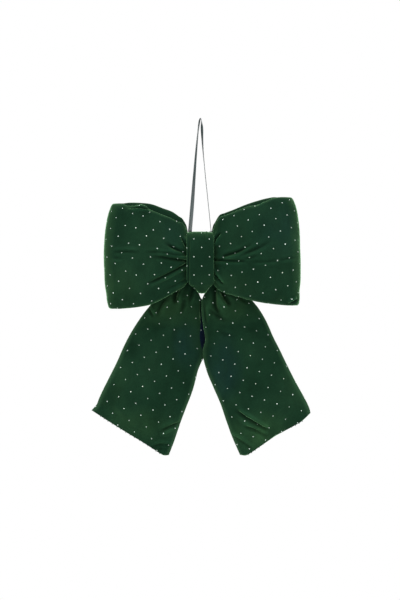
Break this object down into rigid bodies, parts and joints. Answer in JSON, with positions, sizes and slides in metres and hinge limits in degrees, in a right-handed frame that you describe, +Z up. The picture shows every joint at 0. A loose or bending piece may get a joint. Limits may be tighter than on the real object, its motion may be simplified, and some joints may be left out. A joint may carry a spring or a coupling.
{
  "type": "padded velvet bow",
  "caption": "Padded velvet bow with folded loops, a wrapped centre and hanging tails, hung from a narrow satin ribbon loop.",
  "frame": {"origin": "under the top of the ribbon loop, where it lies on its hook", "axes": "+Z up, +X to the viewer's right, +Y away from the viewer towards the wall"},
  "size_m": [0.3357, 0.0759, 0.5188],
  "materials": {
    "velvet": "matte",
    "satin_ribbon": "satin",
    "wadding": "matte",
    "binding_cord": "matte",
    "sewing_thread": "satin"
  },
  "bodies": {
    "hanger": {"hanging_ribbon": "satin_ribbon"},
    "bow": {"knot_cover": "velvet", "knot_fill": "wadding", "knot_closing_stitches": "sewing_thread", "waist_tie": "binding_cord", "ribbon_tack_stitches": "sewing_thread", "tail_tack_stitches": "sewing_thread"},
    "left_loop": {"left_loop_cover": "velvet", "left_loop_fill": "wadding", "left_loop_closing_stitches": "sewing_thread"},
    "right_loop": {"right_loop_cover": "velvet", "right_loop_fill": "wadding", "right_loop_closing_stitches": "sewing_thread"},
    "left_tail": {"left_tail_cover": "velvet", "left_tail_fill": "wadding", "left_tail_closing_stitches": "sewing_thread"},
    "right_tail": {"right_tail_cover": "velvet", "right_tail_fill": "wadding", "right_tail_closing_stitches": "sewing_thread"}
  },
  "joints": [
    {"name": "bow_nod", "type": "hinge", "parent": "hanger", "child": "bow", "pos_m": [0, 0, -0.1754], "axis": [1, 0, 0], "range_deg": [-20, 20]},
    {"name": "left_loop_fold", "type": "hinge", "parent": "bow", "child": "left_loop", "pos_m": [-0.012, -0.0076, -0.217], "axis": [0, 0, 1], "range_deg": [0, 10], "stiffness_Nm_per_rad": 0.4},
    {"name": "right_loop_fold", "type": "hinge", "parent": "bow", "child": "right_loop", "pos_m": [0.01, -0.0076, -0.217], "axis": [0, 0, -1], "range_deg": [0, 10], "stiffness_Nm_per_rad": 0.4},
    {"name": "left_tail_swing", "type": "hinge", "parent": "bow", "child": "left_tail", "pos_m": [-0.014, 0.0298, -0.24], "axis": [0, 1, 0], "range_deg": [0, 10]},
    {"name": "right_tail_swing", "type": "hinge", "parent": "bow", "child": "right_tail", "pos_m": [0.014, 0.0298, -0.24], "axis": [0, -1, 0], "range_deg": [0, 10]}
  ]
}
